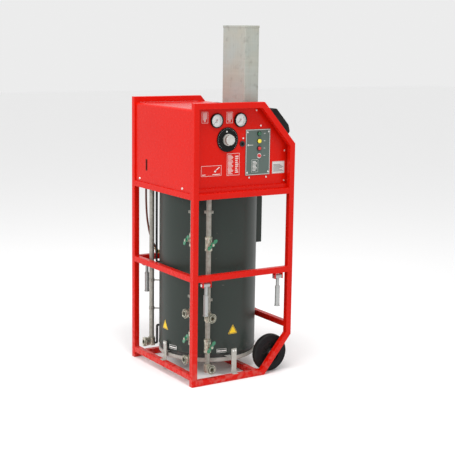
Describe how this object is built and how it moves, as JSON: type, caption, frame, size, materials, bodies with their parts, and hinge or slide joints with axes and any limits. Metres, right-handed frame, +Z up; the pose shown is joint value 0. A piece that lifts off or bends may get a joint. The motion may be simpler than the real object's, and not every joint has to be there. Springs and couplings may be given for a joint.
{
  "type": "pressure washer",
  "caption": "Wheeled tube-frame hot-water pressure washer with a control cabinet and flue above a vertical boiler, ball valves on riser pipes and fold-down carrying handles.",
  "frame": {"origin": "on the floor, under the middle of the tube frame", "axes": "+Z up, +X to the right of the control panel and towards the wheels, -Y out of the control panel"},
  "size_m": [0.7, 0.755, 2.085],
  "materials": {
    "red_paint": "gloss red enamel",
    "boiler_paint": "satin dark grey-green enamel",
    "black_metal": "matt black",
    "bare_steel": "bare rolled sheet, lightly stained",
    "pipe_steel": "satin steel tube",
    "handle_zinc": "grey painted tube",
    "valve_nickel": "nickel-plated brass",
    "valve_green": "green painted lever",
    "black_plastic": "fine-grained black plastic",
    "tyre_rubber": "black rubber",
    "rim_plastic": "black plastic",
    "hose_brown": "dark brown rubber hose",
    "conduit_black": "black sheath",
    "ferrule_brass": "plain brass",
    "knob_silver": "satin",
    "control_grey": "grey-green printed plate",
    "lamp_lens": "ribbed lens",
    "button_red": "glossy",
    "print_white": "printed plate",
    "gauge_glass": "clear",
    "machine_grey": "painted casting"
  },
  "bodies": {
    "frame": {"back_frame": "red_paint", "boiler_base_ring": "black_metal", "boiler_jacket": "boiler_paint", "boiler_lid": "boiler_paint", "boiler_pan": "bare_steel", "boiler_straps": "bare_steel", "burner": "machine_grey", "button_bezels": "black_plastic", "cabinet_floor": "black_metal", "claw_coupling": "valve_nickel", "control_plate": "control_grey", "cross_rails": "red_paint", "dial_disc": "black_plastic", "feed_pipe": "conduit_black", "flue_duct": "bare_steel", "front_frame": "red_paint", "front_panel": "red_paint", "front_riser": "pipe_steel", "gauge_cases": "black_plastic", "gauge_glasses": "gauge_glass", "handle_brackets": "red_paint", "handle_pins": "pipe_steel", "heating_coil": "pipe_steel", "hose_couplings": "valve_nickel", "hose_ferrules": "ferrule_brass", "indicator_lamps": "lamp_lens", "intake_cowl": "black_plastic", "junction_box": "boiler_paint", "left_riser": "pipe_steel", "printed_plates": "print_white", "pump_block": "machine_grey", "pump_motor": "machine_grey", "rear_panel": "red_paint", "rear_riser": "pipe_steel", "screws_and_bolts": "valve_nickel", "sensor_conduit": "conduit_black", "side_roof_sheet": "red_paint", "slanted_cover": "red_paint", "stub_axles": "pipe_steel", "supply_hose": "hose_brown", "valve_bodies": "valve_nickel"},
    "front_wheel": {"front_tyre": "tyre_rubber", "front_rim": "rim_plastic"},
    "rear_wheel": {"rear_tyre": "tyre_rubber", "rear_rim": "rim_plastic"},
    "front_upper_valve_lever": {"front_upper_valve_handle": "valve_green"},
    "front_lower_valve_lever": {"front_lower_valve_handle": "valve_green"},
    "left_upper_valve_lever": {"left_upper_valve_handle": "valve_green"},
    "left_lower_valve_lever": {"left_lower_valve_handle": "valve_green"},
    "front_left_handle": {"front_left_carrying_handle": "handle_zinc"},
    "front_right_handle": {"front_right_carrying_handle": "handle_zinc"},
    "rear_left_handle": {"rear_left_carrying_handle": "handle_zinc"},
    "rear_right_handle": {"rear_right_carrying_handle": "handle_zinc"},
    "knob": {"regulator_knob": "knob_silver"},
    "key": {"key_switch": "black_plastic"},
    "start": {"start_button": "button_red"},
    "stop": {"stop_button": "button_red"},
    "pressure_pointer": {"pressure_needle": "black_plastic"},
    "temperature_pointer": {"temperature_needle": "black_plastic"},
    "pump_drive": {"drive_shaft": "machine_grey"},
    "blower_wheel": {"burner_fan": "machine_grey"}
  },
  "joints": [
    {"name": "front_wheel_roll", "type": "hinge", "parent": "frame", "child": "front_wheel", "pos_m": [0.233, -0.3165, 0.117], "axis": [0, 1, 0], "continuous": true},
    {"name": "rear_wheel_roll", "type": "hinge", "parent": "frame", "child": "rear_wheel", "pos_m": [0.233, 0.3165, 0.117], "axis": [0, 1, 0], "continuous": true},
    {"name": "front_upper_valve_turn", "type": "hinge", "parent": "frame", "child": "front_upper_valve_lever", "pos_m": [-0.213, -0.3645, 0.834], "axis": [0, -1, 0], "range_deg": [-42, 48]},
    {"name": "front_lower_valve_turn", "type": "hinge", "parent": "frame", "child": "front_lower_valve_lever", "pos_m": [-0.213, -0.3645, 0.222], "axis": [0, -1, 0], "range_deg": [-52, 38]},
    {"name": "left_upper_valve_turn", "type": "hinge", "parent": "frame", "child": "left_upper_valve_lever", "pos_m": [-0.337, -0.2725, 0.858], "axis": [-1, 0, 0], "range_deg": [-45, 45]},
    {"name": "left_lower_valve_turn", "type": "hinge", "parent": "frame", "child": "left_lower_valve_lever", "pos_m": [-0.337, -0.2725, 0.27], "axis": [-1, 0, 0], "range_deg": [-45, 45]},
    {"name": "front_left_handle_fold", "type": "hinge", "parent": "frame", "child": "front_left_handle", "pos_m": [-0.252, -0.36, 0.6], "axis": [-1, 0, 0], "range_deg": [0, 90]},
    {"name": "front_right_handle_fold", "type": "hinge", "parent": "frame", "child": "front_right_handle", "pos_m": [0.254, -0.36, 0.6], "axis": [-1, 0, 0], "range_deg": [0, 90]},
    {"name": "rear_left_handle_fold", "type": "hinge", "parent": "frame", "child": "rear_left_handle", "pos_m": [-0.252, 0.36, 0.6], "axis": [1, 0, 0], "range_deg": [0, 90]},
    {"name": "rear_right_handle_fold", "type": "hinge", "parent": "frame", "child": "rear_right_handle", "pos_m": [0.254, 0.36, 0.6], "axis": [1, 0, 0], "range_deg": [0, 90]},
    {"name": "regulator_turn", "type": "hinge", "parent": "frame", "child": "knob", "pos_m": [-0.099, -0.3575, 1.435], "axis": [0, -1, 0], "range_deg": [0, 270]},
    {"name": "key_turn", "type": "hinge", "parent": "frame", "child": "key", "pos_m": [0.003, -0.3365, 1.407], "axis": [0, -1, 0], "range_deg": [0, 90]},
    {"name": "start_press", "type": "slide", "parent": "frame", "child": "start", "axis": [0, 1, 0], "range_m": [0, 0.004], "stiffness_N_per_m": 400, "springref_m": -0.0005},
    {"name": "stop_press", "type": "slide", "parent": "frame", "child": "stop", "axis": [0, 1, 0], "range_m": [0, 0.004], "stiffness_N_per_m": 400, "springref_m": -0.0005},
    {"name": "pressure_pointer_swing", "type": "hinge", "parent": "frame", "child": "pressure_pointer", "pos_m": [-0.174, -0.3325, 1.546], "axis": [0, 1, 0], "range_deg": [0, 270], "stiffness_Nm_per_rad": 0.0005},
    {"name": "temperature_pointer_swing", "type": "hinge", "parent": "frame", "child": "temperature_pointer", "pos_m": [-0.013, -0.3325, 1.546], "axis": [0, 1, 0], "range_deg": [0, 270], "stiffness_Nm_per_rad": 0.0005},
    {"name": "pump_drive_spin", "type": "hinge", "parent": "frame", "child": "pump_drive", "pos_m": [-0.045, 0.1825, 1.247], "axis": [1, 0, 0], "continuous": true},
    {"name": "blower_spin", "type": "hinge", "parent": "frame", "child": "blower_wheel", "pos_m": [-0.15, -0.0775, 1.257], "axis": [0, 1, 0], "continuous": true}
  ]
}
